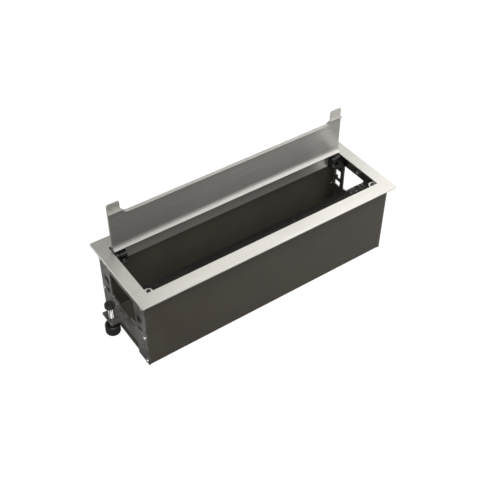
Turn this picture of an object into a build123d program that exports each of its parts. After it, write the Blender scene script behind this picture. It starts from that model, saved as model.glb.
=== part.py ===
from build123d import *
import os

# Conference table box: a stainless frame on the table top, a sheet-metal trough below it,
# a hinged lid with a cable notch, and a screw clamp at each end.
# Millimetres. X runs along the box, Y to the hinge side, Z up.
# The origin is the middle of the underside. The lid stands open at a right angle.

# Top frame
FRAME_LENGTH = 400.0
FRAME_WIDTH = 137.0
FRAME_THICK = 2.0
FRAME_CORNER = 3.0
FRAME_EDGE = 0.5
OPENING_CORNER = 0.8
END_FLANGE = 17.5
SIDE_FLANGE = 20.3

# Trough and end plates
BOX_HEIGHT = 120.0
SHEET = 2.0
SIDE_INSET = 10.8
END_INSET = 6.3
BEND_INSIDE = 1.5
TOP_RETURN = 8.0
END_RETURN = 6.8
END_CORNER = 2.0

# Openings in the end plates: drops from the frame's top face, rises from the base
WINDOW_DROP = 24.5
WINDOW_WIDTH = 61.0
WINDOW_CORNER = 3.0
SIDE_WINDOW_Y = 42.5
SIDE_WINDOW_WIDTH = 11.0
SIDE_WINDOW_LOW = 51.0
SIDE_WINDOW_LOW_TALL = 9.0
SIDE_WINDOW_HIGH = 65.0
SIDE_WINDOW_STEP_TALL = 4.0
SIDE_WINDOW_STEP_WIDTH = 6.5
SIDE_WINDOW_HIGH_TALL = 10.0
ROUND_HOLE_Y = -46.0
ROUND_HOLE_RISE = 28.5
ROUND_HOLE_D = 5.5
REAR_HOLE_Y = 51.8
REAR_HOLE_RISE = 41.0
REAR_HOLE_D = 3.6
FOOT_NOTCH_WIDTH = 60.0
FOOT_NOTCH_TALL = 19.0

# Clamp tab, bent out of the window's lower edge: its top face lies this far below the frame's
TAB_DROP = 67.5
TAB_WIDTH = 26.0
TAB_REACH = 25.2
TAB_CORNER = 1.5
TAB_RELIEF = 2.0
TAB_HOLE_D = 4.0
TAB_HOLE_REACH = 4.5
TAB_HOLE_Y = -4.2

# Clamp screw, nut, pad and knob
ROD_D = 6.0
ROD_REACH = 18.7
ROD_EDGE = 0.6
NUT_FLATS = 10.0
NUT_TALL = 3.0
PAD_DROP = 43.0
PAD_D = 13.5
PAD_TALL = 5.7
PAD_EDGE = 1.2
PAD_LIP = 1.1
PAD_LIP_D = 4.2
PAD_SOCKET_D = 5.4
PAD_SOCKET_TALL = 2.0
KNOB_D = 20.0
KNOB_TALL = 15.0
KNOB_GAP = 7.0
KNOB_GROOVES = 24
KNOB_GROOVE = 0.8
KNOB_RIM = 1.2
KNOB_DISH_D = 15.0
KNOB_COLLAR_D = 12.0
KNOB_COLLAR_TALL = 1.0

# Lid and its inner sheet
LID_THICK = 1.5
LID_GAP = 0.5
LID_REAR_GAP = 1.0
EAR_WIDTH = 17.6
EAR_LENGTH = 18.2
EAR_TIP = 2.0
NOTCH_CORNER = 10.0
LINER_THICK = 1.5
LINER_SIDE_GAP = 0.1
LINER_EAR_SETBACK = 12.7
LIP_TALL = 2.2
LIP_THICK = 1.4
CURL_RADIUS = 8.0
CURL_ANGLE = 72.0
CURL_SETBACK = 10.2

# Hinge
AXIS_FROM_REAR = 14.0
AXIS_DROP = 6.25
PIN_D = 4.0
ARM_INSET = 6.5
ARM_WIDTH = 9.0
ARM_BARREL_R = 5.75
ARM_FOOT_TALL = 8.0
ARM_FOOT_SHORT = 0.3
ARM_FLOOR = 1.6
BRACKET_GAP = 0.6
BRACKET_BARREL_R = 4.2
BRACKET_FRONT = 6.5
BRACKET_REAR = 4.0
BRACKET_FOOT = 15.7
BRACKET_FLANGE = 3.0
BRACKET_FLANGE_FRONT = 9.0
BRACKET_FLANGE_REAR = 10.5
BRACKET_FLANGE_TOP = 1.4
BRACKET_CORNER = 2.0
BRACKET_WALL = 1.8
BRACKET_SCREW_EDGE = 3.2
STOP_PEG_R = 1.7
STOP_PEG_DROP = 10.2

# Brush in the cable outlet
HOLDER_TALL = 5.6
HOLDER_REST_GAP = 0.2
HOLDER_END_GAP = 1.0
HOLDER_CORNER = 1.0
BRISTLE_TALL = 2.4
BRISTLE_DROP = 1.9
BRISTLE_ROOT = 4.3
BRISTLE_TIP_GAP = 0.7
BRISTLE_END_GAP = 2.5
BRISTLE_SPREAD = 0.3

# Lid rest tabs and their rubber buttons
REST_DROP = 3.45
REST_THICK = 1.5
REST_RADIUS = 5.0
REST_OVERLAP = 1.2
BUTTON_D = 5.6
BUTTON_STEM_D = 3.4
BUTTON_LIP = 0.55

# Small fasteners
SCREW_D = 3.0
SCREW_HEAD_D = 5.6
SCREW_HEAD_TALL = 1.6
SCREW_LENGTH = 6.0
STUD_D = 3.0
STUD_LENGTH = 5.6
STUD_NUT_FLATS = 5.5
STUD_NUT_TALL = 2.4
STUD_INSET = 3.0
REAR_STUD_X = 90.0
ARM_STUD_D = 2.5
ARM_NUT_FLATS = 5.0
ARM_NUT_TALL = 1.6
ARM_POCKET_TALL = 2.0
EARTH_D = 4.0
EARTH_HEAD_D = 6.8
EARTH_NUT_FLATS = 7.0
EARTH_NUT_TALL = 3.2
EARTH_TAIL = 1.5
EARTH_DROP = 17.0
END_SCREW_LOW = 6.0
END_SCREW_MIDDLE = 50.0
END_SCREW_TOP_DROP = 15.0
END_SCREW_EDGE = 4.7

# Clearances
CLEAR = 0.3
RUNNING = 0.05
PRESSED = 0.02

# Places worked out from the sizes above
OPEN_X = FRAME_LENGTH / 2 - END_FLANGE
OPEN_Y = FRAME_WIDTH / 2 - SIDE_FLANGE
FRAME_UNDER = BOX_HEIGHT - FRAME_THICK
WALL_Y = FRAME_WIDTH / 2 - SIDE_INSET
PLATE_X = FRAME_LENGTH / 2 - END_INSET
TROUGH_X = PLATE_X - SHEET
RETURN_Y = WALL_Y - TOP_RETURN
SCREW_Y = WALL_Y - END_SCREW_EDGE
AXIS_Y = OPEN_Y - AXIS_FROM_REAR
AXIS_Z = BOX_HEIGHT - AXIS_DROP
LID_X = OPEN_X - LID_GAP
LID_FRONT = -OPEN_Y + LID_GAP
LID_REAR = OPEN_Y - LID_REAR_GAP
LID_UNDER = BOX_HEIGHT - LID_THICK
LINER_UNDER = LID_UNDER - LINER_THICK
FOOT_UNDER = LID_UNDER - ARM_FOOT_TALL
NOTCH_Y = LID_FRONT + EAR_LENGTH
NOTCH_X = LID_X - EAR_WIDTH
ARM_X = LID_X - ARM_INSET - ARM_WIDTH
ARM_OUT_X = ARM_X + ARM_WIDTH
BRACKET_X = ARM_OUT_X + BRACKET_GAP
STUD_Y = (WALL_Y - SHEET + RETURN_Y) / 2
CORNER_STUD_X = OPEN_X + STUD_INSET
ROD_X = PLATE_X + ROD_REACH
TAB_RISE = BOX_HEIGHT - TAB_DROP
TAB_UNDER = TAB_RISE - SHEET
PAD_TOP = BOX_HEIGHT - PAD_DROP
PAD_UNDER = PAD_TOP - PAD_TALL
KNOB_TOP = TAB_UNDER - NUT_TALL - KNOB_GAP
KNOB_UNDER = KNOB_TOP - KNOB_TALL
HOLDER_TOP = FRAME_UNDER - SHEET
HOLDER_Y = -WALL_Y + SHEET + CLEAR
HOLDER_MOUTH = -OPEN_Y - REST_OVERLAP - HOLDER_REST_GAP
BRISTLE_TOP = HOLDER_TOP - BRISTLE_DROP
REST_X = OPEN_X - REST_RADIUS
REST_Y = -OPEN_Y + REST_RADIUS
REST_TOP = BOX_HEIGHT - REST_DROP

SIDES = {"left": -1, "right": 1}


def plate(outline, z, thick):
    """A flat plate with its underside at height z."""
    return extrude(Pos(0, 0, z) * outline, thick)


def along_x(section, x0, x1):
    """A YZ section, drawn at X = 0, carried from x0 to x1."""
    return extrude(Pos(x0, 0, 0) * section, x1 - x0, dir=(1, 0, 0))


def yz(y, z):
    """Place a sketch on the YZ plane with its own X along Y and its own Y along Z."""
    return Plane((0, y, z), x_dir=(0, 1, 0), z_dir=(1, 0, 0))


def rectangle(u0, u1, v0, v1):
    """A rectangle by its limits."""
    return Pos((u0 + u1) / 2, (v0 + v1) / 2) * Rectangle(u1 - u0, v1 - v0)


def rod_z(x, y, z0, z1, diameter):
    """An upright round bar."""
    return Pos(x, y, (z0 + z1) / 2) * Cylinder(diameter / 2, z1 - z0)


def rod_x(x0, x1, y, z, diameter):
    """A round bar along X."""
    bar = Rot(0, 90, 0) * Cylinder(diameter / 2, abs(x1 - x0))
    return Pos((x0 + x1) / 2, y, z) * bar


def hex_nut(flats, tall, bore):
    """A plain nut with its underside at Z = 0."""
    outline = RegularPolygon(flats / 2, 6, major_radius=False) - Circle(bore / 2)
    return extrude(outline, tall)


def pan_screw(diameter, length, head_d, head_tall):
    """A screw whose head sits on Z = 0 and whose shank points down."""
    return rod_z(0, 0, 0, head_tall, head_d) + rod_z(0, 0, -length, 0, diameter)


def top_frame():
    """Frame plate, lid rest tabs and weld studs."""
    ring = RectangleRounded(FRAME_LENGTH, FRAME_WIDTH, FRAME_CORNER)
    ring -= RectangleRounded(2 * OPEN_X, 2 * OPEN_Y, OPENING_CORNER)
    body = plate(ring, FRAME_UNDER, FRAME_THICK)
    rim = body.faces().sort_by(Axis.Z)[-1].outer_wire().edges()
    body = chamfer(rim, FRAME_EDGE)
    for side in SIDES.values():
        body += rest_tab(side)
        body += rod_z(side * CORNER_STUD_X, STUD_Y, FRAME_UNDER - STUD_LENGTH, FRAME_UNDER, STUD_D)
        body += rod_z(side * CORNER_STUD_X, -STUD_Y, FRAME_UNDER - STUD_LENGTH, FRAME_UNDER, STUD_D)
        body += rod_z(side * REAR_STUD_X, STUD_Y, FRAME_UNDER - STUD_LENGTH, FRAME_UNDER, STUD_D)
    return body


def rest_tab(side):
    """A rounded lug, stepped down below the lid, at one front inner corner."""
    lug = rectangle(REST_X, OPEN_X + REST_OVERLAP, -OPEN_Y - REST_OVERLAP, REST_Y + REST_RADIUS)
    lug += rectangle(REST_X - REST_RADIUS, OPEN_X, -OPEN_Y - REST_OVERLAP, REST_Y)
    lug += Pos(REST_X, REST_Y) * Circle(REST_RADIUS)
    lug -= Pos(REST_X, REST_Y) * Circle(BUTTON_STEM_D / 2)
    body = plate(lug, REST_TOP - REST_THICK, REST_THICK)
    riser = rectangle(OPEN_X, OPEN_X + REST_OVERLAP, -OPEN_Y - REST_OVERLAP, REST_Y + REST_RADIUS)
    riser += rectangle(REST_X - REST_RADIUS, OPEN_X, -OPEN_Y - REST_OVERLAP, -OPEN_Y)
    body += plate(riser, REST_TOP - REST_THICK, FRAME_UNDER - REST_TOP + REST_THICK)
    return body if side > 0 else mirror(body, Plane.YZ)


def lid_button(side):
    """A rubber button: head above the tab, stem through it, lip below."""
    x = side * REST_X
    low = REST_TOP - REST_THICK
    dome = rod_z(x, REST_Y, REST_TOP, LID_UNDER - CLEAR, BUTTON_D)
    stem = rod_z(x, REST_Y, low - BUTTON_LIP, REST_TOP, BUTTON_STEM_D - 2 * PRESSED)
    lip = rod_z(x, REST_Y, low - BUTTON_LIP, low, BUTTON_STEM_D + BUTTON_LIP)
    return dome + stem + lip


def trough():
    """Bent U with turned-in top edges and upright returns at both ends."""
    section = rectangle(-WALL_Y, WALL_Y, 0, FRAME_UNDER)
    section = fillet(section.vertices().group_by(Axis.Y)[0], BEND_INSIDE + SHEET)
    hollow = rectangle(-WALL_Y + SHEET, WALL_Y - SHEET, SHEET, FRAME_UNDER - SHEET)
    hollow = fillet(hollow.vertices().group_by(Axis.Y)[0], BEND_INSIDE)
    section -= hollow
    section -= rectangle(-RETURN_Y, RETURN_Y, FRAME_UNDER - SHEET, FRAME_UNDER)
    body = along_x(yz(0, 0) * section, -TROUGH_X, TROUGH_X)
    for side in SIDES.values():
        for back in (-1, 1):
            inner = WALL_Y - SHEET - END_RETURN
            strip = rectangle(inner, WALL_Y - SHEET, SHEET + BEND_INSIDE, FRAME_UNDER - SHEET - CLEAR)
            strip = fillet(strip.vertices().group_by(Axis.X)[0], END_CORNER)
            flap = along_x(yz(0, 0) * strip, TROUGH_X - SHEET, TROUGH_X)
            flap = flap if side > 0 else mirror(flap, Plane.YZ)
            body += flap if back > 0 else mirror(flap, Plane.XZ)
            for z in end_screw_heights():
                x = side * (TROUGH_X - SHEET / 2)
                body -= rod_x(x - SHEET, x + SHEET, back * SCREW_Y, z, SCREW_D + 2 * PRESSED)
            x = side * CORNER_STUD_X
            body -= rod_z(x, back * STUD_Y, FRAME_UNDER - 2 * SHEET, FRAME_UNDER + 1, STUD_D + 2 * CLEAR)
        body -= rod_z(side * REAR_STUD_X, STUD_Y, FRAME_UNDER - 2 * SHEET, FRAME_UNDER + 1,
                      STUD_D + 2 * CLEAR)
    return body


def end_screw_heights():
    """Heights of the screws that hold an end plate to the trough's returns."""
    return (END_SCREW_LOW, END_SCREW_MIDDLE, BOX_HEIGHT - END_SCREW_TOP_DROP)


def side_window():
    """The two small windows on one side of the big one."""
    inner = SIDE_WINDOW_Y - SIDE_WINDOW_WIDTH / 2
    outer = SIDE_WINDOW_Y + SIDE_WINDOW_WIDTH / 2
    low = rectangle(inner, outer, SIDE_WINDOW_LOW, SIDE_WINDOW_LOW + SIDE_WINDOW_LOW_TALL)
    step_top = SIDE_WINDOW_HIGH + SIDE_WINDOW_STEP_TALL
    high = rectangle(inner, outer, step_top, step_top + SIDE_WINDOW_HIGH_TALL)
    high += rectangle(inner, inner + SIDE_WINDOW_STEP_WIDTH, SIDE_WINDOW_HIGH, step_top)
    return low + high


def end_plate(side):
    """Plate with its windows, foot notch, holes and the clamp tab bent outward."""
    sheet = rectangle(-WALL_Y, WALL_Y, 0, FRAME_UNDER)
    sheet = fillet(sheet.vertices().group_by(Axis.Y)[0], END_CORNER)
    window = rectangle(-WINDOW_WIDTH / 2, WINDOW_WIDTH / 2, TAB_RISE, BOX_HEIGHT - WINDOW_DROP)
    window = fillet(window.vertices(), WINDOW_CORNER)
    foot = rectangle(-FOOT_NOTCH_WIDTH / 2, FOOT_NOTCH_WIDTH / 2, -1, FOOT_NOTCH_TALL)
    foot = fillet(foot.vertices().group_by(Axis.Y)[-1], WINDOW_CORNER)
    cuts = window + foot + side_window() + mirror(side_window(), Plane.YZ)
    for back in (-1, 1):
        relief = Pos(back * (TAB_WIDTH / 2 + TAB_RELIEF / 2), TAB_RISE - SHEET)
        cuts += relief * Rectangle(TAB_RELIEF, 4 * TAB_RELIEF)
    cuts += Pos(ROUND_HOLE_Y, ROUND_HOLE_RISE) * Circle(ROUND_HOLE_D / 2)
    cuts += Pos(REAR_HOLE_Y, REAR_HOLE_RISE) * Circle(REAR_HOLE_D / 2)
    cuts += rectangle(-TAB_WIDTH / 2, TAB_WIDTH / 2, TAB_RISE - BEND_INSIDE - SHEET, TAB_RISE + 1)
    body = along_x(yz(0, 0) * (sheet - cuts), TROUGH_X, PLATE_X)
    body += clamp_tab()
    for z in end_screw_heights():
        for back in (-1, 1):
            body -= rod_x(TROUGH_X - 1, PLATE_X + 1, back * SCREW_Y, z, SCREW_D + 2 * CLEAR)
    for y, z in bracket_screw_points():
        body -= rod_x(TROUGH_X - 1, PLATE_X + 1, y, z, SCREW_D + 2 * CLEAR)
    if side > 0:
        body -= rod_x(TROUGH_X - 1, PLATE_X + 1, 0, BOX_HEIGHT - EARTH_DROP, EARTH_D + 2 * CLEAR)
    return body if side > 0 else mirror(body, Plane.YZ)


def clamp_tab():
    """The tab: up from the plate, round the bend and outward, with the rod's hole."""
    bend_z = TAB_RISE - BEND_INSIDE - SHEET
    bend_x = PLATE_X + BEND_INSIDE
    outside = BEND_INSIDE + SHEET
    section = Pos(bend_x, bend_z) * (Circle(outside) - Circle(BEND_INSIDE))
    section &= rectangle(bend_x - outside, bend_x, bend_z, bend_z + outside)
    section += rectangle(bend_x, PLATE_X + TAB_REACH, TAB_UNDER, TAB_RISE)
    on_xz = Plane((0, TAB_WIDTH / 2, 0), x_dir=(1, 0, 0), z_dir=(0, -1, 0))
    tab = extrude(on_xz * section, TAB_WIDTH)
    corners = tab.edges().filter_by(Axis.Z).group_by(Axis.X)[-1]
    tab = fillet(corners, TAB_CORNER)
    tab -= rod_z(ROD_X, 0, TAB_UNDER - 1, TAB_RISE + 1, ROD_D + 2 * CLEAR)
    tab -= rod_z(PLATE_X + TAB_HOLE_REACH, TAB_HOLE_Y, TAB_UNDER - 1, TAB_RISE + 1, TAB_HOLE_D)
    return tab


def end_plate_screws():
    """Screws through the end plates into the trough's returns."""
    screw = Rot(0, 90, 0) * pan_screw(SCREW_D, SCREW_LENGTH, SCREW_HEAD_D, SCREW_HEAD_TALL)
    group = []
    for z in end_screw_heights():
        for back in (-1, 1):
            one = Pos(PLATE_X, back * SCREW_Y, z) * screw
            group += [one, mirror(one, Plane.YZ)]
    return Compound(children=group)


def frame_nuts():
    """Nuts on the frame's weld studs, under the trough's turned-in edge."""
    nut = hex_nut(STUD_NUT_FLATS, STUD_NUT_TALL, STUD_D + 2 * PRESSED)
    z = FRAME_UNDER - SHEET - STUD_NUT_TALL
    places = []
    for side in SIDES.values():
        places += [(side * CORNER_STUD_X, STUD_Y), (side * CORNER_STUD_X, -STUD_Y),
                   (side * REAR_STUD_X, STUD_Y)]
    return Compound(children=[Pos(x, y, z) * nut for x, y in places])


def earth_terminal():
    """Earthing screw through the right end plate, head outside, nut inside."""
    z = BOX_HEIGHT - EARTH_DROP
    screw = pan_screw(EARTH_D, SHEET + EARTH_NUT_TALL + EARTH_TAIL, EARTH_HEAD_D, SCREW_HEAD_TALL)
    nut = hex_nut(EARTH_NUT_FLATS, EARTH_NUT_TALL, EARTH_D + 2 * PRESSED)
    return Compound(children=[
        Pos(PLATE_X, 0, z) * Rot(0, 90, 0) * screw,
        Pos(TROUGH_X, 0, z) * Rot(0, -90, 0) * nut])


def brush_holder():
    """Channel below the front flange that grips the bristles."""
    low = HOLDER_TOP - HOLDER_TALL
    section = rectangle(HOLDER_Y, HOLDER_MOUTH, low, HOLDER_TOP)
    section = fillet(section.vertices().group_by(Axis.Y)[0], HOLDER_CORNER)
    root = HOLDER_MOUTH - BRISTLE_ROOT
    section -= rectangle(root, HOLDER_MOUTH + 1, BRISTLE_TOP - BRISTLE_TALL, BRISTLE_TOP)
    end = OPEN_X - HOLDER_END_GAP
    return along_x(yz(0, 0) * section, -end, end)


def brush_bristles():
    """The bristles as one mat, slightly thicker at the free ends."""
    root = HOLDER_MOUTH - BRISTLE_ROOT
    tip = NOTCH_Y + BRISTLE_TIP_GAP
    low = BRISTLE_TOP - BRISTLE_TALL
    outline = [(root, low), (HOLDER_MOUTH, low), (tip, low - BRISTLE_SPREAD),
               (tip, BRISTLE_TOP), (root, BRISTLE_TOP)]
    section = make_face(Polyline(*outline, close=True))
    end = OPEN_X - BRISTLE_END_GAP
    return along_x(yz(0, 0) * section, -end, end)


def notch(grow=0.0):
    """The cable notch between the ears, open to the front."""
    cut = rectangle(-NOTCH_X - grow, NOTCH_X + grow, LID_FRONT - EAR_LENGTH, NOTCH_Y + grow)
    return fillet(cut.vertices().group_by(Axis.Y)[-1], NOTCH_CORNER + grow)


def opened(shape):
    """Swing a closed lid piece to the open rest position."""
    return shape.rotate(Axis((0, AXIS_Y, AXIS_Z), (1, 0, 0)), -90)


def arm_stud(side):
    """Place of the weld stud that holds one hinge arm, in the middle of its foot."""
    x = side * (ARM_X + ARM_WIDTH / 2)
    y = (AXIS_Y + ARM_BARREL_R + LID_REAR - ARM_FOOT_SHORT) / 2
    return x, y


def lid_plate():
    """Stainless lid plate with ears, notch and the studs for the hinge arms."""
    outline = rectangle(-LID_X, LID_X, LID_FRONT, LID_REAR) - notch()
    body = plate(outline, LID_UNDER, LID_THICK)
    tips = body.edges().filter_by(Axis.Z).group_by(Axis.Y)[0]
    body = fillet(tips, EAR_TIP)
    for side in SIDES.values():
        x, y = arm_stud(side)
        body += rod_z(x, y, FOOT_UNDER + CLEAR, LID_UNDER, ARM_STUD_D)
    return opened(body)


def lid_liner():
    """Inner sheet: lip round the notch, flat middle and a curled rear edge."""
    curl_y = AXIS_Y - CURL_SETBACK - CURL_RADIUS
    curl_z = LINER_UNDER - CURL_RADIUS
    x = LID_X - LINER_SIDE_GAP
    front = LID_FRONT + LINER_EAR_SETBACK
    flat = rectangle(-x, x, front, curl_y) - notch()
    body = plate(flat, LINER_UNDER, LINER_THICK)
    inside = rectangle(-x - 1, x + 1, front + LIP_THICK, curl_y + 1) - notch(LIP_THICK)
    body += plate(flat - inside, LINER_UNDER - LIP_TALL, LIP_TALL)
    ring = Circle(CURL_RADIUS + LINER_THICK) - Circle(CURL_RADIUS)
    reach = 2 * (CURL_RADIUS + LINER_THICK)
    wedge = make_face(Polyline((0, 0), (0, reach), (reach, reach), (reach, 0), (0, 0)))
    wedge &= Rot(0, 0, 90 - CURL_ANGLE) * rectangle(0, 2 * reach, 0, 2 * reach)
    section = yz(curl_y, curl_z) * (ring & wedge)
    body += along_x(section, -x, x)
    return opened(body)


def hinge_arm(side):
    """Moulded arm: foot under the lid plate, barrel round the pin."""
    y_end = LID_REAR - ARM_FOOT_SHORT
    section = rectangle(AXIS_Y - ARM_BARREL_R, y_end, FOOT_UNDER, LID_UNDER)
    section += Pos(AXIS_Y, AXIS_Z) * Circle(ARM_BARREL_R)
    section &= rectangle(AXIS_Y - 2 * ARM_BARREL_R, y_end, FOOT_UNDER - 2 * ARM_BARREL_R, LID_UNDER)
    body = along_x(yz(0, 0) * section, ARM_X, ARM_OUT_X)
    body -= rod_x(ARM_X + ARM_FLOOR, ARM_OUT_X + 1, AXIS_Y, AXIS_Z, PIN_D + 2 * RUNNING)
    x, y = arm_stud(1)
    body -= rod_z(x, y, FOOT_UNDER - 1, LID_UNDER + 1, ARM_STUD_D + 2 * PRESSED)
    pocket = RegularPolygon((ARM_NUT_FLATS + CLEAR) / 2, 6, major_radius=False, rotation=30)
    body -= extrude(Pos(x, y, FOOT_UNDER) * pocket, ARM_POCKET_TALL)
    body = body if side > 0 else mirror(body, Plane.YZ)
    return opened(body)


def hinge_arm_nuts():
    """Small nuts on the lid's weld studs, sunk in the arms' feet."""
    nut = Rot(0, 0, 30) * hex_nut(ARM_NUT_FLATS, ARM_NUT_TALL, ARM_STUD_D + 2 * PRESSED)
    z = FOOT_UNDER + ARM_POCKET_TALL - ARM_NUT_TALL
    group = []
    for side in SIDES.values():
        x, y = arm_stud(side)
        group.append(opened(Pos(x, y, z) * nut))
    return Compound(children=group)


def bracket_screw_points():
    """Screws through the end plate into a hinge bracket's flange."""
    z = AXIS_Z - BRACKET_FOOT / 2
    return [(AXIS_Y - BRACKET_FLANGE_FRONT + BRACKET_SCREW_EDGE, z),
            (AXIS_Y + BRACKET_FLANGE_REAR - BRACKET_SCREW_EDGE, z)]


def hinge_bracket(side):
    """Moulded bracket: flange on the end plate, boss with the pin's bore, open stop peg."""
    boss = rectangle(-BRACKET_FRONT, BRACKET_REAR, -BRACKET_FOOT, -BRACKET_BARREL_R * 0.5)
    boss = fillet(boss.vertices().group_by(Axis.Y)[0], BRACKET_CORNER)
    boss += Circle(BRACKET_BARREL_R)
    flange = rectangle(-BRACKET_FLANGE_FRONT, BRACKET_FLANGE_REAR, -BRACKET_FOOT, BRACKET_FLANGE_TOP)
    flange = fillet(flange.vertices(), BRACKET_CORNER)
    body = along_x(yz(AXIS_Y, AXIS_Z) * boss, BRACKET_X, TROUGH_X - BRACKET_FLANGE)
    body += along_x(yz(AXIS_Y, AXIS_Z) * flange, TROUGH_X - BRACKET_FLANGE, TROUGH_X)
    pocket = rectangle(-BRACKET_FRONT + BRACKET_WALL, BRACKET_REAR - BRACKET_WALL,
                       -BRACKET_FOOT + BRACKET_WALL, -BRACKET_BARREL_R - 2 * CLEAR)
    body -= along_x(yz(AXIS_Y, AXIS_Z) * pocket, BRACKET_X + BRACKET_WALL, TROUGH_X + 1)
    peg_y = AXIS_Y + FOOT_UNDER - AXIS_Z - CLEAR - STOP_PEG_R
    body += rod_x(ARM_X + 1, BRACKET_X + 1, peg_y, AXIS_Z - STOP_PEG_DROP, 2 * STOP_PEG_R)
    body -= rod_x(BRACKET_X - 1, TROUGH_X - BRACKET_FLANGE, AXIS_Y, AXIS_Z, PIN_D + 2 * PRESSED)
    for y, z in bracket_screw_points():
        body -= rod_x(TROUGH_X - BRACKET_FLANGE - 1, TROUGH_X + 1, y, z, SCREW_D + 2 * PRESSED)
    return body if side > 0 else mirror(body, Plane.YZ)


def hinge_bracket_screws():
    """Screws that hold the hinge brackets, heads outside."""
    length = SHEET + BRACKET_FLANGE
    screw = Rot(0, 90, 0) * pan_screw(SCREW_D, length, SCREW_HEAD_D, SCREW_HEAD_TALL)
    group = []
    for y, z in bracket_screw_points():
        one = Pos(PLATE_X, y, z) * screw
        group += [one, mirror(one, Plane.YZ)]
    return Compound(children=group)


def hinge_pin(side):
    """Steel pin, pressed in the bracket, with the arm turning on it."""
    end = TROUGH_X - BRACKET_FLANGE - CLEAR
    pin = rod_x(ARM_X + ARM_FLOOR + CLEAR, end, AXIS_Y, AXIS_Z, PIN_D)
    return pin if side > 0 else mirror(pin, Plane.YZ)


def clamp_nut(side):
    """Weld nut under the clamp tab."""
    return Pos(side * ROD_X, 0, TAB_UNDER - NUT_TALL) * hex_nut(NUT_FLATS, NUT_TALL, ROD_D + 2 * RUNNING)


def clamp_pad(side):
    """Foot pad with a snap socket for the rod's button end."""
    pad = rod_z(side * ROD_X, 0, PAD_UNDER, PAD_TOP, PAD_D)
    pad = chamfer(pad.edges().filter_by(GeomType.CIRCLE).sort_by(Axis.Z)[-1], PAD_EDGE)
    pad -= rod_z(side * ROD_X, 0, PAD_UNDER - 1, PAD_UNDER + PAD_LIP, PAD_LIP_D)
    pad -= rod_z(side * ROD_X, 0, PAD_UNDER + PAD_LIP, PAD_UNDER + PAD_LIP + PAD_SOCKET_TALL, PAD_SOCKET_D)
    return pad


def clamp_rod(side):
    """Threaded rod with a turned button end at the top."""
    neck_top = PAD_UNDER + PAD_LIP + CLEAR / 2
    button_top = PAD_UNDER + PAD_LIP + PAD_SOCKET_TALL - CLEAR / 2
    rod = rod_z(side * ROD_X, 0, KNOB_UNDER, PAD_UNDER - CLEAR / 2, ROD_D)
    rod = chamfer(rod.edges().filter_by(GeomType.CIRCLE).sort_by(Axis.Z)[-1], ROD_EDGE)
    rod += rod_z(side * ROD_X, 0, PAD_UNDER - 1, neck_top, PAD_LIP_D - 2 * RUNNING)
    button = rod_z(side * ROD_X, 0, neck_top, button_top, PAD_SOCKET_D - 2 * RUNNING)
    return rod + chamfer(button.edges().sort_by(Axis.Z)[-1], ROD_EDGE / 2)


def clamp_knob(side):
    """Round knob with a ring of V grooves, a flat rim and a raised collar."""
    teeth = 2 * KNOB_GROOVES
    radii = (KNOB_D / 2, KNOB_D / 2 - KNOB_GROOVE)
    points = [Vector(radii[n % 2], 0).rotate(Axis.Z, n * 360 / teeth) for n in range(teeth)]
    outline = make_face(Polyline(*points, close=True))
    knob = plate(outline, 0, KNOB_TALL - KNOB_RIM)
    knob += rod_z(0, 0, KNOB_TALL - KNOB_RIM, KNOB_TALL, KNOB_D - 2 * KNOB_RIM)
    dish = rod_z(0, 0, -1, KNOB_COLLAR_TALL, KNOB_DISH_D)
    knob -= dish - rod_z(0, 0, -1, KNOB_COLLAR_TALL, KNOB_COLLAR_D)
    knob -= rod_z(0, 0, -1, KNOB_TALL + 1, ROD_D + 2 * PRESSED)
    return Pos(side * ROD_X, 0, KNOB_UNDER) * knob


def build():
    """Every node by name."""
    nodes = {
        "top_frame": top_frame(),
        "trough": trough(),
        "end_plate_screws": end_plate_screws(),
        "frame_nuts": frame_nuts(),
        "earth_terminal": earth_terminal(),
        "brush_holder": brush_holder(),
        "brush_bristles": brush_bristles(),
        "lid_bumpers": Compound(children=[lid_button(side) for side in SIDES.values()]),
        "hinge_bracket_screws": hinge_bracket_screws(),
        "lid_plate": lid_plate(),
        "lid_liner": lid_liner(),
        "hinge_arm_nuts": hinge_arm_nuts(),
    }
    pairs = {
        "end_plate": end_plate, "hinge_bracket": hinge_bracket, "hinge_pin": hinge_pin,
        "hinge_arm": hinge_arm, "clamp_nut": clamp_nut, "clamp_pad": clamp_pad,
        "clamp_rod": clamp_rod, "clamp_knob": clamp_knob,
    }
    for name, maker in pairs.items():
        for word, side in SIDES.items():
            nodes[name + "_" + word] = maker(side)
    return nodes


os.makedirs("parts", exist_ok=True)
for node, shape in build().items():
    export_step(shape, "parts/" + node + ".step")
    print(node, round(shape.volume, 1))
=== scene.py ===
import math

import bmesh
import bpy
import numpy as np
from mathutils import Matrix, Vector


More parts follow.
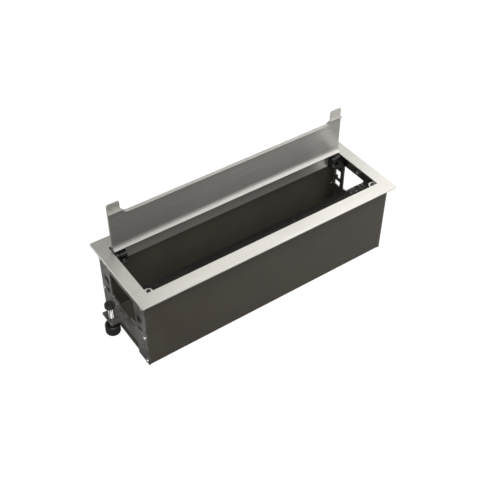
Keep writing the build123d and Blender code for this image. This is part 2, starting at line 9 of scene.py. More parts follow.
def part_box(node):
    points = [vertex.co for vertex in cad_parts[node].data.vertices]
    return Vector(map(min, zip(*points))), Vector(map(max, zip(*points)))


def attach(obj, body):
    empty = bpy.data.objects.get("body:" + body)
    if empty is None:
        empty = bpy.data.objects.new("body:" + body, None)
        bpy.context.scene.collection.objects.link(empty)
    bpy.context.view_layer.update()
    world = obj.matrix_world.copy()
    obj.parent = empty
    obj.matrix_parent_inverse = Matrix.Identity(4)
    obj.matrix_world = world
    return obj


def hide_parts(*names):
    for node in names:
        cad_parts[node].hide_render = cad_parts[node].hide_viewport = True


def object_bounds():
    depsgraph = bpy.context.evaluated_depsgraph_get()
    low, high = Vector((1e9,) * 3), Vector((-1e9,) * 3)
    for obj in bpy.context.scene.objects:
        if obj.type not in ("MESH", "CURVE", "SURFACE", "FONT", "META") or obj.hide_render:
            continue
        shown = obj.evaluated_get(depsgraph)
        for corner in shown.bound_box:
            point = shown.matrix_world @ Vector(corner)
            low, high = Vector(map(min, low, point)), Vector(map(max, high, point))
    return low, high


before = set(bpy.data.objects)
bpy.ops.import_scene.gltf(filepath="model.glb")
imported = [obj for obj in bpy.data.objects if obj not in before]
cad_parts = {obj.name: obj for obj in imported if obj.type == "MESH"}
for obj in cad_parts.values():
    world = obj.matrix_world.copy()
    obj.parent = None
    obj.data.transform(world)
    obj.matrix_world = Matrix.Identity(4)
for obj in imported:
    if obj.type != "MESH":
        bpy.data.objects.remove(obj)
CAD_LOW, CAD_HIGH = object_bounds()

MM = 0.001
HOUSING, LID = "housing", "lid"
RANGE_INPUTS = ("From Min", "From Max", "To Min", "To Max")

# Materials


def set_stops(ramp, stops):
    """Gives a colour ramp its (position, (r, g, b)) stops."""
    points = ramp.color_ramp.elements
    while len(points) < len(stops):
        points.new(0.5)
    for point, (place, colour) in zip(points, stops):
        point.position = place
        point.color = (*colour, 1)


class Nodes:
    """A new material, with short ways to add shader nodes to it and link them."""

    def __init__(self, name):
        self.mat = bpy.data.materials.new(name)
        self.mat.use_nodes = True
        self.tree = self.mat.node_tree
        self.shader = self.tree.nodes["Principled BSDF"]

    def add(self, kind, **values):
        """A new node. Each value goes to the input of that name, or else to the setting."""
        node = self.tree.nodes.new(kind)
        for key, value in values.items():
            if key in node.inputs:
                node.inputs[key].default_value = value
            else:
                setattr(node, key, value)
        return node

    def link(self, a, out, b, into):
        self.tree.links.new(a.outputs[out], b.inputs[into])

    def coords(self, stretch):
        """Object coordinates in metres, scaled along each axis."""
        tex = self.add("ShaderNodeTexCoord")
        mapping = self.add("ShaderNodeMapping", Scale=stretch)
        self.link(tex, "Object", mapping, "Vector")
        return mapping

    def noise(self, scale, detail, rough, stretch=(1, 1, 1)):
        mapping = self.coords(stretch)
        node = self.add("ShaderNodeTexNoise", Scale=scale, Detail=detail, Roughness=rough)
        self.link(mapping, "Vector", node, "Vector")
        return node

    def spread(self, source, low, high, start=0.3, end=0.7, out="Fac"):
        """Maps a grey value from start..end to low..high."""
        node = self.add("ShaderNodeMapRange")
        for key, value in zip(RANGE_INPUTS, (start, end, low, high)):
            node.inputs[key].default_value = value
        self.link(source, out, node, "Value")
        return node

    def ramp(self, source, stops, out="Fac"):
        """A colour ramp over a grey value."""
        node = self.add("ShaderNodeValToRGB")
        set_stops(node, stops)
        self.link(source, out, node, "Fac")
        return node

    def multiply(self, a, b, amount):
        """Multiplies the colour of a by the colour of b by an amount."""
        node = self.add("ShaderNodeMix", data_type="RGBA", blend_type="MULTIPLY")
        node.inputs["Factor"].default_value = amount
        self.link(a, "Color", node, "A")
        self.link(b, "Color", node, "B")
        return node

    def bump(self, source, strength, distance):
        node = self.add("ShaderNodeBump", Strength=strength, Distance=distance)
        self.link(source, "Fac", node, "Height")
        return node

    def finish(self, colour, colour_out, rough, normal=None, **values):
        """Links what varies over the surface, and sets the rest on the shader's own sockets."""
        for key, value in values.items():
            self.shader.inputs[key.replace("_", " ")].default_value = value
        self.link(colour, colour_out, self.shader, "Base Color")
        self.link(rough, "Result", self.shader, "Roughness")
        if normal is not None:
            self.link(normal, "Normal", self.shader, "Normal")
        return self.mat


def brushed(name, dark, light, rough_low, rough_high, metallic, anisotropic):
    """Brushed sheet: long fine lines along X over broad, soft patches."""
    n = Nodes(name)
    lengthwise = n.add("ShaderNodeCombineXYZ", X=1.0)
    n.link(lengthwise, "Vector", n.shader, "Tangent")
    lines = n.noise(900, 3, 0.7, (0.012, 1, 1))
    broad = n.noise(9, 2, 0.5, (0.5, 1, 1))
    tone = n.ramp(lines, [(0.28, dark), (0.72, light)])
    patches = n.ramp(broad, [(0.3, (0.88, 0.88, 0.88)), (0.7, (1, 1, 1))])
    colour = n.multiply(tone, patches, 0.7)
    rough = n.spread(lines, rough_low, rough_high)
    normal = n.bump(lines, 0.3, 0.04 * MM)
    return n.finish(colour, "Result", rough, normal, Metallic=metallic, Anisotropic=anisotropic,
                    Anisotropic_Rotation=0.25)


def dark_paint():
    """Satin paint on sheet metal: fine orange peel and faint clouding."""
    n = Nodes("dark_paint")
    peel = n.noise(1400, 2, 0.5)
    cloud = n.noise(22, 4, 0.6)
    colour = n.ramp(cloud, [(0.25, (0.056, 0.048, 0.039)), (0.75, (0.068, 0.060, 0.049))])
    rough = n.spread(cloud, 0.40, 0.50)
    normal = n.bump(peel, 0.12, 0.06 * MM)
    return n.finish(colour, "Color", rough, normal, Specular_IOR_Level=0.3)


def galvanised():
    """Galvanised sheet: small crystals of different greys under larger dark stains."""
    n = Nodes("galvanised")
    mapping = n.coords((1, 1, 1))
    cells = n.add("ShaderNodeTexVoronoi", Scale=240)
    n.link(mapping, "Vector", cells, "Vector")
    grey = n.ramp(cells, [(0.0, (0.20, 0.195, 0.183)), (1.0, (0.36, 0.352, 0.332))], "Color")
    stains = n.noise(44, 7, 0.78, (1, 1, 0.6))
    dirt = n.ramp(stains, [(0.33, (0.27, 0.262, 0.248)), (0.66, (1, 1, 1))])
    colour = n.multiply(grey, dirt, 0.9)
    rough = n.spread(cells, 0.30, 0.46, 0.0, 1.0, "Distance")
    normal = n.bump(stains, 0.15, 0.1 * MM)
    return n.finish(colour, "Result", rough, normal, Metallic=0.8)


def zinc():
    """Bright zinc plate on turned parts, slightly hazed."""
    n = Nodes("zinc")
    haze = n.noise(260, 4, 0.6)
    colour = n.ramp(haze, [(0.3, (0.55, 0.55, 0.53)), (0.7, (0.74, 0.74, 0.72))])
    rough = n.spread(haze, 0.28, 0.44)
    normal = n.bump(haze, 0.08, 0.08 * MM)
    return n.finish(colour, "Color", rough, normal, Metallic=1.0)


def moulded(name, dark, light, rough_low, rough_high, grain=2200, depth=0.05 * MM):
    """Dark plastic, rubber or anodised metal with a fine grain and faint wear."""
    n = Nodes(name)
    skin = n.noise(grain, 3, 0.6)
    wear = n.noise(60, 4, 0.6)
    colour = n.ramp(wear, [(0.3, dark), (0.75, light)])
    rough = n.spread(wear, rough_low, rough_high)
    normal = n.bump(skin, 0.25, depth)
    return n.finish(colour, "Color", rough, normal, Specular_IOR_Level=0.35)


def bristle():
    """Nylon hair, some strands lighter than others."""
    n = Nodes("bristle")
    strands = n.noise(2600, 2, 0.6, (1, 0.02, 1))
    colour = n.ramp(strands, [(0.3, (0.012, 0.011, 0.010)), (0.7, (0.040, 0.037, 0.034))])
    rough = n.spread(strands, 0.45, 0.65)
    return n.finish(colour, "Color", rough)


MATERIALS = {
    "stainless": brushed("stainless", (0.54, 0.525, 0.495), (0.64, 0.625, 0.59), 0.28, 0.38, 0.85, 0.7),
    # The lid's liner is the stainless brushed steel again, with a darker base colour that is painted shade
    # for the lid's underside.
    "lid_inner": brushed("lid_inner", (0.32, 0.31, 0.295), (0.40, 0.39, 0.375), 0.34, 0.40, 0.92, 0.95),
    "dark_paint": dark_paint(),
    "galvanised": galvanised(),
    "zinc": zinc(),
    "black_plastic": moulded("black_plastic", (0.006, 0.006, 0.0055), (0.011, 0.0105, 0.010), 0.34, 0.46),
    "black_aluminium": moulded("black_aluminium", (0.018, 0.017, 0.016), (0.034, 0.032, 0.030),
                               0.3, 0.42, 1500, 0.03 * MM),
    "bristle": bristle(),
    "rubber": moulded("rubber", (0.009, 0.009, 0.0085), (0.020, 0.019, 0.018), 0.42, 0.6),
}

# Mesh helpers
# A shape here is a pair of lists: the points, and the faces as indices of points.

POLE = 1e-9
WELD = 1e-6


def new_object(name, data):
    obj = bpy.data.objects.new(name, data)
    bpy.context.scene.collection.objects.link(obj)
    return obj


def outward_mesh(name, shape):
    """A mesh of a shape, with its normals turned outwards."""
    verts, faces = shape
    mesh = bpy.data.meshes.new(name)
    mesh.from_pydata(verts, [], faces)
    clean = bmesh.new()
    clean.from_mesh(mesh)
    bmesh.ops.recalc_face_normals(clean, faces=clean.faces)
    clean.to_mesh(mesh)
    clean.free()
    return mesh


def piece(name, shape, slot, body, node, crease=35):
    """A new object that rides on a body in place of a CAD node."""
    mesh = outward_mesh(name, shape)
    mesh.shade_smooth()
    mesh.set_sharp_from_angle(angle=math.radians(crease))
    mesh.materials.append(MATERIALS[slot])
    obj = new_object(name, mesh)
    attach(obj, body)
    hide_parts(node)


def circle(radius, z, count):
    """Points of a level circle about Z."""
    angles = [2 * math.pi * i / count for i in range(count)]
    return [(radius * math.cos(a), radius * math.sin(a), z) for a in angles]


def band(a, b, count):
    """Faces between two closed rings of points that start at indices a and b."""
    return [(a + i, a + (i + 1) % count, b + (i + 1) % count, b + i) for i in range(count)]


def lathe(profile, segments):
    """Turns (radius, height) points about Z. Points with radius 0 become poles."""
    verts, rings = [], []
    for r, z in profile:
        pole = r <= POLE
        rings.append((len(verts), pole))
        verts += [(0, 0, z)] if pole else circle(r, z, segments)
    faces = []
    for (low, low_pole), (high, high_pole) in zip(rings, rings[1:]):
        if low_pole and high_pole:
            continue
        if low_pole:
            faces += [(low, high + i, high + (i + 1) % segments) for i in range(segments)]
        elif high_pole:
            faces += [(low + i, low + (i + 1) % segments, high) for i in range(segments)]
        else:
            faces += band(low, high, segments)
    return verts, faces


def arc(cx, cz, radius, start, end, steps=5):
    """Points of a rounded profile corner, angles in degrees."""
    angles = [math.radians(start + (end - start) * i / steps) for i in range(steps + 1)]
    return [(cx + radius * math.cos(a), cz + radius * math.sin(a)) for a in angles]


def placed(shape, matrix):
    """A shape moved by a matrix."""
    verts, faces = shape
    return [tuple(matrix @ Vector(v)) for v in verts], faces


def joined(shapes):
    """Several shapes as one."""
    verts, faces = [], []
    for more_verts, more_faces in shapes:
        base = len(verts)
        verts += more_verts
        faces += [tuple(i + base for i in face) for face in more_faces]
    return verts, faces


def along(direction, place):
    """Matrix that turns +Z to a direction and puts the origin at a place."""
    turn = Vector((0, 0, 1)).rotation_difference(Vector(direction)).to_matrix().to_4x4()
    return Matrix.Translation(Vector(place)) @ turn


def spin(degrees):
    """Matrix that turns about Z."""
    return Matrix.Rotation(math.radians(degrees), 4, "Z")


def islands(node):
    """Boxes of the separate solids of a CAD node, as (low, high) corners, in order of place."""
    welded = bmesh.new()
    welded.from_mesh(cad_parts[node].data)
    bmesh.ops.remove_doubles(welded, verts=welded.verts, dist=WELD)
    left, boxes = set(welded.verts), []
    while left:
        stack, seen = [left.pop()], []
        while stack:
            vert = stack.pop()
            seen.append(vert.co.copy())
            for edge in vert.link_edges:
                other = edge.other_vert(vert)
                if other in left:
                    left.remove(other)
                    stack.append(other)
        points = np.array(seen)
        boxes.append((Vector(points.min(0)), Vector(points.max(0))))
    welded.free()
    return sorted(boxes, key=lambda box: tuple(round(x, 5) for x in box[0]))


def cut(target, tool):
    """Boolean difference of two closed shapes."""
    solid, cutter = [new_object("cut", outward_mesh("cut", shape)) for shape in (target, tool)]
    modifier = solid.modifiers.new("cut", "BOOLEAN")
    modifier.operation = "DIFFERENCE"
    modifier.solver = "EXACT"
    modifier.object = cutter
    graph = bpy.context.evaluated_depsgraph_get()
    result = bpy.data.meshes.new_from_object(solid.evaluated_get(graph))
    verts = [tuple(v.co) for v in result.vertices]
    faces = [tuple(p.vertices) for p in result.polygons]
    bpy.data.objects.remove(solid)
    bpy.data.objects.remove(cutter)
    return verts, faces


# CAD nodes that stay in view: their material slots, and the width of their softened edges

NODE_SLOTS = {
    "top_frame": "stainless", "lid_plate": "stainless", "lid_liner": "lid_inner",
    "trough": "dark_paint", "brush_holder": "black_aluminium",
    "end_plate_left": "galvanised", "end_plate_right": "galvanised",
    "hinge_bracket_left": "black_plastic", "hinge_bracket_right": "black_plastic",
    "hinge_arm_left": "black_plastic", "hinge_arm_right": "black_plastic",
    "hinge_pin_left": "zinc", "hinge_pin_right": "zinc",
}
SOFT_EDGES = {
    "top_frame": 0.35 * MM, "lid_plate": 0.25 * MM, "lid_liner": 0.2 * MM, "trough": 0.25 * MM,
    "end_plate_left": 0.2 * MM, "end_plate_right": 0.2 * MM, "brush_holder": 0.25 * MM,
    "hinge_bracket_left": 0.35 * MM, "hinge_bracket_right": 0.35 * MM,
    "hinge_arm_left": 0.35 * MM, "hinge_arm_right": 0.35 * MM,
}
SHARP_EDGE = 40


def soften(obj, width):
    """Modifiers that round the sharp edges of a CAD node."""
    weld = obj.modifiers.new("weld", "WELD")
    weld.merge_threshold = WELD
    bevel = obj.modifiers.new("edges", "BEVEL")
    bevel.width = width
    bevel.segments = 2
    bevel.limit_method = "ANGLE"
    bevel.angle_limit = math.radians(SHARP_EDGE)
    bevel.harden_normals = False
    smooth = obj.modifiers.new("normals", "WEIGHTED_NORMAL")
    smooth.keep_sharp = False


def finish_cad():
    """Materials and softened edges on the CAD nodes that stay in view."""
    for node, slot in NODE_SLOTS.items():
        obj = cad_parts[node]
        if not obj.material_slots:
            obj.data.materials.append(None)
        for place in obj.material_slots:
            place.link = "OBJECT"
            place.material = MATERIALS[slot]
        if node in SOFT_EDGES:
            soften(obj, SOFT_EDGES[node])


# Fasteners

HEAD_TALL = 1.6 * MM
HEAD_ROUND = 0.45 * HEAD_TALL
CROSS_OVER = 0.2 * MM
CROSS_ARM = 0.16
CROSS_TIP = 0.55
PLATE_CROSS = 3.0 * MM
PLATE_RECESS = 0.7 * HEAD_TALL
PLATE_SHANK_R = 1.5 * MM
PLATE_PITCH = 0.5 * MM
EARTH_HEAD_R = 3.4 * MM
EARTH_CROSS = 3.8 * MM
EARTH_RECESS = 1.2 * MM
EARTH_SHANK_R = 2.0 * MM
EARTH_PITCH = 0.7 * MM

# Nuts: width across flats and bore
STUD_NUT = (5.5 * MM, 3.0 * MM)
ARM_NUT = (5.0 * MM, 2.5 * MM)
EARTH_NUT = (7.0 * MM, 4.0 * MM)
NUT_STEPS = 8
NUT_SLOPE = 0.45
NUT_FACE = 0.97
NUT_EDGE = 0.02
NUT_BORE_EDGE = 0.06

# Threads: depth as a share of the pitch, rings for each turn, and the tooth's form
THREAD_DEPTH = 0.61
THREAD_RINGS = 8
THREAD_FLANK = 1.6
THREAD_CREST = 0.3
SHANK_SEGMENTS = 20

SQUARE = ((-1, -1), (1, -1), (1, 1), (-1, 1))


def screw_head(radius, cross, recess):
    """Pan head with a rounded edge and a cross recess, seated on Z = 0."""
    profile = [(0, 0), (radius, 0)]
    profile += arc(radius - HEAD_ROUND, HEAD_TALL - HEAD_ROUND, HEAD_ROUND, 0, 80, 6)
    profile += [(radius / 2, HEAD_TALL), (0, HEAD_TALL)]
    head = lathe(profile, 32)
    half, arm = cross / 2, cross * CROSS_ARM
    floor, top = HEAD_TALL - recess, HEAD_TALL + CROSS_OVER
    verts = [(x * half * CROSS_TIP, y * arm * CROSS_TIP, floor) for x, y in SQUARE]
    verts += [(x * half, y * arm, top) for x, y in SQUARE]
    blade = verts, [(0, 1, 2, 3), (4, 5, 6, 7)] + band(0, 4, 4)
    for turn in (0, 90):
        head = cut(head, placed(blade, spin(turn)))
    return head


def threaded(radius, z0, z1, pitch, segments):
    """A bar with a real helical thread that fades out over the first and the last turn."""
    rings = max(2, int((z1 - z0) / pitch * THREAD_RINGS))
    verts = [(0, 0, z0)]
    for k in range(rings + 1):
        z = z0 + (z1 - z0) * k / rings
        fade = min(1.0, (z - z0) / pitch, (z1 - z) / pitch)
        for i in range(segments):
            a = 2 * math.pi * i / segments
            phase = (z / pitch - i / segments) % 1.0
            tooth = min(1.0, max(0.0, THREAD_FLANK * abs(2 * phase - 1) - THREAD_CREST))
            r = radius - pitch * THREAD_DEPTH * (tooth * fade + (1 - fade) / 2)
            verts.append((r * math.cos(a), r * math.sin(a), z))
    verts.append((0, 0, z1))
    top = 1 + rings * segments
    faces = [(0, 1 + (i + 1) % segments, 1 + i) for i in range(segments)]
    for k in range(rings):
        faces += band(1 + k * segments, 1 + (k + 1) * segments, segments)
    faces += [(len(verts) - 1, top + i, top + (i + 1) % segments) for i in range(segments)]
    return verts, faces


def nut(flats, bore, tall):
    """Hexagon nut with turned bevels on both ends and a bevelled bore, underside on Z = 0."""
    count = 6 * NUT_STEPS
    flat_r, bore_r, bore_edge = flats / 2, bore / 2, bore * NUT_BORE_EDGE

    def hexagon(at_top):
        """Edge of a bevelled end, which is lower the further it lies from the middle."""
        points = []
        for i in range(count):
            a = 2 * math.pi * i / count
            r = flat_r / math.cos(a % math.radians(60) - math.radians(30))
            drop = (r - flat_r) * NUT_SLOPE + NUT_EDGE * flats
            points.append((r * math.cos(a), r * math.sin(a), tall - drop if at_top else drop))
        return points

    loops = [
        circle(bore_r, bore_edge, count),
        circle(bore_r + bore_edge, 0.0, count),
        circle(flat_r * NUT_FACE, 0.0, count),
        hexagon(False),
        hexagon(True),
        circle(flat_r * NUT_FACE, tall, count),
        circle(bore_r + bore_edge, tall, count),
        circle(bore_r, tall - bore_edge, count),
    ]
    faces = []
    for k in range(len(loops)):
        faces += band(k * count, (k + 1) % len(loops) * count, count)
    return sum(loops, []), faces


def screw(head, shank_r, length, pitch):
    """A head with a threaded shank below it."""
    return joined([head, threaded(shank_r, -length, 0.0, pitch, SHANK_SEGMENTS)])


def plate_screws(node):
    """Detailed screws in the places of a group of screws through the end plates."""
    parts = []
    for k, (low, high) in enumerate(islands(node)):
        side = 1 if low.x + high.x > 0 else -1
        outer, inner = (high.x, low.x) if side > 0 else (low.x, high.x)
        centre = (low + high) / 2
        seat = (outer - side * HEAD_TALL, centre.y, centre.z)
        head = screw_head((high.y - low.y) / 2, PLATE_CROSS, PLATE_RECESS)
        shape = screw(head, PLATE_SHANK_R, abs(seat[0] - inner), PLATE_PITCH)
        parts.append(placed(shape, along((side, 0, 0), seat) @ spin(23 + 37 * k)))
    return joined(parts)


def stud_nuts():
    """Nuts below the frame, each turned a little further."""
    parts = []
    for k, (low, high) in enumerate(islands("frame_nuts")):
        centre = (low + high) / 2
        place = Matrix.Translation((centre.x, centre.y, low.z)) @ Matrix.Rotation(0.4 * k, 4, "Z")
        parts.append(placed(nut(*STUD_NUT, high.z - low.z), place))
    return joined(parts)


def arm_nuts():
    parts = []
    for low, high in islands("hinge_arm_nuts"):
        centre = (low + high) / 2
        place = along((0, 1, 0), (centre.x, low.y, centre.z)) @ spin(30)
        parts.append(placed(nut(*ARM_NUT, high.y - low.y), place))
    return joined(parts)


def earth_screw():
    """Screw from outside through the end plate, with its nut inside."""
    (nut_low, nut_high), (low, high) = sorted(islands("earth_terminal"), key=lambda box: box[1].x)
    centre = (low + high) / 2
    seat = (high.x - HEAD_TALL, centre.y, centre.z)
    head = screw_head(EARTH_HEAD_R, EARTH_CROSS, EARTH_RECESS)
    shape = screw(head, EARTH_SHANK_R, seat[0] - low.x, EARTH_PITCH)
    held = nut(*EARTH_NUT, nut_high.x - nut_low.x)
    towards = (1, 0, 0)
    return joined([placed(shape, along(towards, seat)),
                   placed(held, along(towards, (nut_low.x, centre.y, centre.z)))])


def fasteners():
    piece("plate_screws", plate_screws("end_plate_screws"), "zinc", HOUSING, "end_plate_screws")
    piece("bracket_screws", plate_screws("hinge_bracket_screws"), "zinc", HOUSING, "hinge_bracket_screws")
    piece("stud_nuts", stud_nuts(), "zinc", HOUSING, "frame_nuts")
    piece("arm_nuts", arm_nuts(), "zinc", LID, "hinge_arm_nuts")
    piece("earth_screw", earth_screw(), "zinc", HOUSING, "earth_terminal")


# Clamps

PAD_SEGMENTS = 56
PAD_BORE_R = 2.1 * MM
PAD_SOCKET_R = 2.7 * MM
PAD_LIP = 1.1 * MM
PAD_SOCKET_TOP = 3.1 * MM
PAD_BORE_EDGE = 0.3 * MM
PAD_FOOT_ROUND = 0.9 * MM
PAD_TOP_ROUND = 1.6 * MM
PAD_GROOVE = 0.25 * MM

ROD_SEGMENTS = 36
ROD_R = 3.0 * MM
ROD_PITCH = 1.0 * MM
ROD_GAP = 0.25 * MM
NECK_R = 2.0 * MM
NECK_START = 1.0 * MM
NECK_END = 1.25 * MM
ROD_HEAD_R = 2.62 * MM
ROD_HEAD_TOP_R = 2.3 * MM
ROD_HEAD_EDGE = 0.4 * MM
TAB_NUT_BORE = 6.1 * MM

KNOB_RIBS = 24
KNOB_STEPS = 10
KNOB_RIB_DEPTH = 0.95 * MM
KNOB_RIB_FORM = 1.6
KNOB_BORE_R = 3.02 * MM
KNOB_COLLAR_R = 6.0 * MM
KNOB_DISH_R = 7.5 * MM
KNOB_DISH = 1.0 * MM


def foot_pad(low, high):
    """Foot with rounded edges, a groove round its side and a socket for the rod's head."""
    r, foot, top = (high.x - low.x) / 2, low.z, high.z
    tall = top - foot
    lip, socket_top = foot + PAD_LIP, foot + PAD_SOCKET_TOP
    profile = [(PAD_BORE_R, lip), (PAD_BORE_R, foot + PAD_BORE_EDGE), (PAD_BORE_R + PAD_BORE_EDGE, foot)]
    profile += arc(r - PAD_FOOT_ROUND, foot + PAD_FOOT_ROUND, PAD_FOOT_ROUND, -90, 0)
    profile += [(r, foot + tall * 0.42), (r - PAD_GROOVE, foot + tall * 0.47), (r, foot + tall * 0.52)]
    profile += arc(r - PAD_TOP_ROUND, top - PAD_TOP_ROUND, PAD_TOP_ROUND, 0, 80, 8)
    profile += [(r * 0.6, top), (r * 0.55, top - PAD_GROOVE), (0, top - PAD_GROOVE)]
    socket = [(0, socket_top), (PAD_SOCKET_R, socket_top), (PAD_SOCKET_R, lip), (PAD_BORE_R, lip)]
    return joined([lathe(profile, PAD_SEGMENTS), lathe(socket, PAD_SEGMENTS)])


def clamp_rod(low, high, pad_foot):
    """Threaded bar up to the pad, and a turned neck and head that go into it."""
    bar = threaded(ROD_R, low, pad_foot - ROD_GAP, ROD_PITCH, ROD_SEGMENTS)
    neck_low, neck_high = pad_foot - NECK_START, pad_foot + NECK_END
    stem = [(0, neck_low), (NECK_R, neck_low), (NECK_R, neck_high), (ROD_HEAD_R, neck_high)]
    stem += [(ROD_HEAD_R, high - ROD_HEAD_EDGE), (ROD_HEAD_TOP_R, high), (0, high)]
    return joined([bar, lathe(stem, ROD_SEGMENTS)])


def knob(radius, low, high):
    """Round knob: deep straight ribs, a smooth rim above, a dished underside with a raised collar."""
    count = KNOB_RIBS * KNOB_STEPS
    # Radius, height, and how deep the ribs are there
    rings = [
        (KNOB_BORE_R, low + 0.02 * MM, 0),
        (KNOB_COLLAR_R - 0.3 * MM, low, 0),
        (KNOB_COLLAR_R, low + 0.3 * MM, 0),
        (KNOB_COLLAR_R, low + KNOB_DISH, 0),
        (KNOB_DISH_R, low + KNOB_DISH, 0),
        (KNOB_DISH_R + 0.1 * MM, low + 0.2 * MM, 0),
        (KNOB_DISH_R + 0.4 * MM, low, 0),
        (radius - 1.5 * MM, low, 0),
        (radius - 0.55 * MM, low + 0.25 * MM, 0.3),
        (radius - 0.1 * MM, low + 0.8 * MM, 0.8),
        (radius, low + 1.6 * MM, 1),
        (radius, high - 2.6 * MM, 1),
        (radius - 0.1 * MM, high - 2.0 * MM, 0.5),
        (radius - 0.25 * MM, high - 1.5 * MM, 0),
        (radius - 0.7 * MM, high - 0.9 * MM, 0),
        (radius - 1.3 * MM, high - 0.3 * MM, 0),
        (radius - 2.0 * MM, high, 0),
        (KNOB_COLLAR_R, high, 0),
        (KNOB_COLLAR_R - 0.4 * MM, high - 0.5 * MM, 0),
        (KNOB_BORE_R + 0.6 * MM, high - 0.5 * MM, 0),
        (KNOB_BORE_R, high - 0.9 * MM, 0),
        (KNOB_BORE_R, low + 0.02 * MM, 0),
    ]
    verts = []
    for r, z, depth in rings:
        for i in range(count):
            a = 2 * math.pi * i / count
            crest = abs(2 * ((i / KNOB_STEPS) % 1.0) - 1)
            ribbed = r - depth * KNOB_RIB_DEPTH * (1 - crest ** KNOB_RIB_FORM)
            verts.append((ribbed * math.cos(a), ribbed * math.sin(a), z))
    faces = []
    for k in range(len(rings) - 1):
        faces += band(k * count, (k + 1) * count, count)
    return verts, faces


def tab_nut(low, high, x):
    """Nut under the clamp tab, with its corners along the longer side of its box."""
    wide, deep = high.x - low.x, high.y - low.y
    shape = nut(min(wide, deep), TAB_NUT_BORE, high.z - low.z)
    return placed(shape, Matrix.Translation((x, 0, low.z)) @ spin(0 if wide > deep else 30))


def clamps():
    for word in ("left", "right"):
        pad_low, pad_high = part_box("clamp_pad_" + word)
        rod_low, rod_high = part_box("clamp_rod_" + word)
        knob_low, knob_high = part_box("clamp_knob_" + word)
        nut_low, nut_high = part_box("clamp_nut_" + word)
        x = (rod_low.x + rod_high.x) / 2
        axis = Matrix.Translation((x, 0, 0))
        pad = placed(foot_pad(pad_low, pad_high), axis)
        rod = placed(clamp_rod(rod_low.z, rod_high.z, pad_low.z), axis)
        grip = placed(knob((knob_high.y - knob_low.y) / 2, knob_low.z, knob_high.z), axis)
        held = tab_nut(nut_low, nut_high, x)
        piece("foot_pad_" + word, pad, "rubber", "pad_" + word, "clamp_pad_" + word)
        piece("rod_" + word, rod, "zinc", "screw_" + word, "clamp_rod_" + word, 50)
        piece("tab_nut_" + word, held, "galvanised", HOUSING, "clamp_nut_" + word)
        piece("knob_" + word, grip, "black_plastic", "screw_" + word, "clamp_knob_" + word, 28)


# Rest buttons

BUTTON_TALL = 1.65 * MM
BUTTON_ROUND = 1.0 * MM
BUTTON_DIMPLE = 0.4 * MM
BARB_R = 1.9 * MM
BARB_TIP_R = 1.3 * MM
BARB_LOW = 0.2 * MM
BARB_HIGH = 0.55 * MM
STEM_R = 1.68 * MM


def rest_buttons():
    """Rubber buttons with a dimple on top and a barbed stem through the tab."""
    parts = []
    for low, high in islands("lid_bumpers"):
        centre = (low + high) / 2
        r, foot, top = (high.x - low.x) / 2, low.z, high.z
        profile = [(0, foot), (BARB_TIP_R, foot), (BARB_R, foot + BARB_LOW), (BARB_R, foot + BARB_HIGH)]
        profile += [(STEM_R, foot + BARB_HIGH), (STEM_R, top - BUTTON_TALL), (r, top - BUTTON_TALL)]
        profile += arc(r - BUTTON_ROUND, top - BUTTON_ROUND, BUTTON_ROUND, 0, 75, 6)
        profile += [(r * 0.42, top), (r * 0.36, top - BUTTON_DIMPLE), (0, top - BUTTON_DIMPLE - 0.05 * MM)]
        parts.append(placed(lathe(profile, 40), Matrix.Translation((centre.x, centre.y, 0))))
    return joined(parts)


# Brush

HAIR_ROWS = 4
HAIR_SPACING = 0.34 * MM
HAIR_THICK = 0.13 * MM
HAIR_TAPER = 0.35
HAIR_FLAT = 0.8
HAIR_SWAY = 0.35 * MM
HAIR_DROP = 0.12 * MM
HAIR_SHORT = 0.45 * MM
HAIR_ROOT = 1.0 * MM
MAT_SIDE = 0.3 * MM
MAT_BELOW = 0.55 * MM
MAT_ABOVE = 0.3 * MM
# Places along a hair, and the shares of its sway and its drop there
HAIR_BENDS = ((0.0, 0.0, 0.0), (0.5, 0.35, 0.3), (1.0, 1.0, 1.0))


def brush_hairs():
    """Rows of separate nylon hairs."""
    low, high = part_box("brush_bristles")
    root_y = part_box("brush_holder")[1].y - HAIR_ROOT
    random = np.random.default_rng(7)
    count = int((high.x - low.x - 2 * MAT_SIDE) / HAIR_SPACING)
    verts, faces = [], []
    for row in range(HAIR_ROWS):
        root_z = low.z + MAT_BELOW + (high.z - low.z - MAT_BELOW - MAT_ABOVE) * row / (HAIR_ROWS - 1)
        root_x = low.x + MAT_SIDE + HAIR_SPACING * (np.arange(count) + 0.5 * (row % 2))
        sway = random.normal(0, HAIR_SWAY, count)
        drop = random.normal(0, HAIR_DROP, count)
        tip_y = high.y - np.abs(random.normal(0, HAIR_SHORT, count))
        for k in range(count):
            base = len(verts)
            for t, swayed, dropped in HAIR_BENDS:
                x = min(max(root_x[k] + sway[k] * swayed, low.x + HAIR_THICK), high.x - HAIR_THICK)
                y = root_y + (tip_y[k] - root_y) * t
                z = min(max(root_z + drop[k] * dropped, low.z + HAIR_THICK), high.z - HAIR_THICK)
                w = HAIR_THICK * (1 - HAIR_TAPER * t)
                verts += [(x - w, y, z - w * HAIR_FLAT), (x + w, y, z - w * HAIR_FLAT), (x, y, z + w)]
            faces += band(base, base + 3, 3) + band(base + 3, base + 6, 3)
            faces += [(base, base + 2, base + 1), (base + 6, base + 7, base + 8)]
    return verts, faces


# Surround and floor

# Direction in which the surround grows lighter, and the range that it does so over
WORLD_TOWARDS = (0.8, 0.5, 0.2)
WORLD_RAMP = (-1.0, 1.0, 0.08, 0.28)
WORLD_COLOUR = (1.0, 0.995, 0.98, 1)
# Brightness of the floor in reflections, as (X, value) stops
FLOOR_STOPS = ((-0.6, 0.8), (-0.24, 0.45), (-0.185, 0.03), (0.45, 0.65))
FLOOR_GLOW = 0.95
FLOOR_PALE = 0.09
FLOOR_REACH = 20.0
FLOOR_GAP = 0.2 * MM


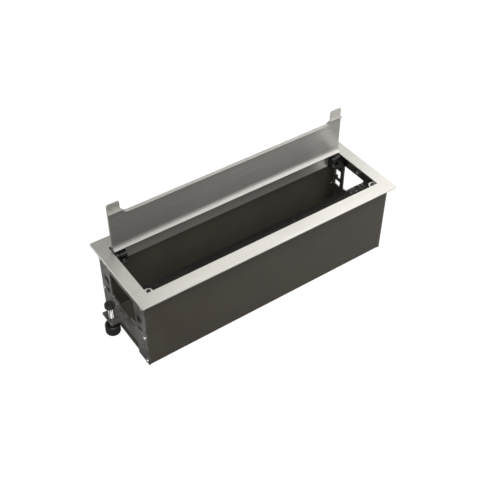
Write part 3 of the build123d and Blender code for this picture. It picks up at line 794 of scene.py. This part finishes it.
def studio_world():
    """A soft surround, lighter towards the back and right, and white where the camera sees it."""
    world = bpy.data.worlds.new("studio")
    bpy.context.scene.world = world
    world.use_nodes = True
    tree = world.node_tree
    tree.nodes.clear()
    out = tree.nodes.new("ShaderNodeOutputWorld")
    back = tree.nodes.new("ShaderNodeBackground")
    back.inputs["Color"].default_value = WORLD_COLOUR
    coord = tree.nodes.new("ShaderNodeTexCoord")
    dot = tree.nodes.new("ShaderNodeVectorMath")
    dot.operation = "DOT_PRODUCT"
    dot.inputs[1].default_value = WORLD_TOWARDS
    ramp = tree.nodes.new("ShaderNodeMapRange")
    for key, value in zip(RANGE_INPUTS, WORLD_RAMP):
        ramp.inputs[key].default_value = value
    path = tree.nodes.new("ShaderNodeLightPath")
    white = tree.nodes.new("ShaderNodeMix")
    white.inputs["B"].default_value = 1.0
    tree.links.new(coord.outputs["Generated"], dot.inputs[0])
    tree.links.new(dot.outputs["Value"], ramp.inputs["Value"])
    tree.links.new(path.outputs["Is Camera Ray"], white.inputs["Factor"])
    tree.links.new(ramp.outputs["Result"], white.inputs["A"])
    tree.links.new(white.outputs["Result"], back.inputs["Strength"])
    tree.links.new(back.outputs["Background"], out.inputs["Surface"])


def floor_material():
    """Pale and dull; its glow is white for the camera and graded along X for reflections."""
    n = Nodes("floor")
    n.shader.inputs["Base Color"].default_value = (FLOOR_PALE, FLOOR_PALE, FLOOR_PALE, 1)
    n.shader.inputs["Roughness"].default_value = 1.0
    n.shader.inputs["Specular IOR Level"].default_value = 0.0

    def maths(operation, a, b):
        node = n.add("ShaderNodeMath", operation=operation)
        for socket, value in zip(node.inputs, (a, b)):
            if isinstance(value, float):
                socket.default_value = value
            else:
                n.tree.links.new(value, socket)
        return node.outputs["Value"]

    start, end = FLOOR_STOPS[0][0], FLOOR_STOPS[-1][0]
    coord = n.add("ShaderNodeTexCoord")
    split = n.add("ShaderNodeSeparateXYZ")
    n.link(coord, "Object", split, "Vector")
    place = n.spread(split, 0.0, 1.0, start, end, "X")
    stops = [((x - start) / (end - start), (value, value, value)) for x, value in FLOOR_STOPS]
    grade = n.ramp(place, stops, "Result")
    path = n.add("ShaderNodeLightPath").outputs
    seen = maths("MULTIPLY", path["Is Camera Ray"], FLOOR_GLOW)
    mirrored = maths("ADD", path["Is Glossy Ray"], path["Is Transmission Ray"])
    mirrored = maths("MULTIPLY", mirrored, grade.outputs["Color"])
    glow = n.add("ShaderNodeEmission")
    n.tree.links.new(maths("ADD", seen, mirrored), glow.inputs["Strength"])
    both = n.add("ShaderNodeAddShader")
    n.tree.links.new(n.shader.outputs["BSDF"], both.inputs[0])
    n.tree.links.new(glow.outputs["Emission"], both.inputs[1])
    n.link(both, "Shader", n.tree.nodes["Material Output"], "Surface")
    return n.mat


def stage():
    """The floor, just below the object."""
    mesh = bpy.data.meshes.new("floor")
    corners = [(x * FLOOR_REACH, y * FLOOR_REACH, 0) for x, y in SQUARE]
    mesh.from_pydata(corners, [], [(0, 1, 2, 3)])
    mesh.materials.append(floor_material())
    floor = new_object("floor", mesh)
    floor.location.z = CAD_LOW.z - FLOOR_GAP


# Lamps and camera

# Name, place, aim, size, power in watts, colour
LAMPS = (
    ("overhead", (0.404, -0.072, 0.853), (0, 0, 0.1), (1.11, 0.84), 7.5, (1.0, 0.995, 0.98)),
    ("key", (-0.65, -1.25, 1.6), (0, 0, 0.08), (1.8, 2.2), 44, (1.0, 0.99, 0.97)),
    ("side", (1.15, -1.0, 1.1), (0.05, 0, 0.08), (1.5, 1.5), 9, (1, 1, 1)),
    ("rear", (-1.0, 1.5, 0.55), (0, 0, 0.08), (1.2, 0.7), 9, (1, 1, 1)),
)
EYE = (-0.4870, -0.6861, 0.8628)
TARGET = (-0.037669, -0.034565, 0.120)
LENS = 63.75
SENSOR = 36


def aimed(obj, place, aim):
    """Puts a lamp or camera at a place and turns it to look at a point."""
    obj.location = place
    obj.rotation_euler = (Vector(aim) - Vector(place)).to_track_quat("-Z", "Y").to_euler()


def lights():
    for name, place, aim, size, power, colour in LAMPS:
        data = bpy.data.lights.new(name, "AREA")
        data.shape = "RECTANGLE"
        data.size, data.size_y = size
        data.energy = power
        data.color = colour
        aimed(new_object(name, data), place, aim)


def camera():
    data = bpy.data.cameras.new("camera")
    data.lens = LENS
    data.sensor_width = SENSOR
    data.clip_start, data.clip_end = 0.05, 50
    obj = new_object("camera", data)
    aimed(obj, EYE, TARGET)
    bpy.context.scene.camera = obj


bpy.context.scene.view_settings.view_transform = "Standard"
finish_cad()
fasteners()
clamps()
piece("rest_buttons", rest_buttons(), "rubber", HOUSING, "lid_bumpers")
piece("brush_hairs", brush_hairs(), "bristle", HOUSING, "brush_bristles", 180)
studio_world()
stage()
lights()
camera()
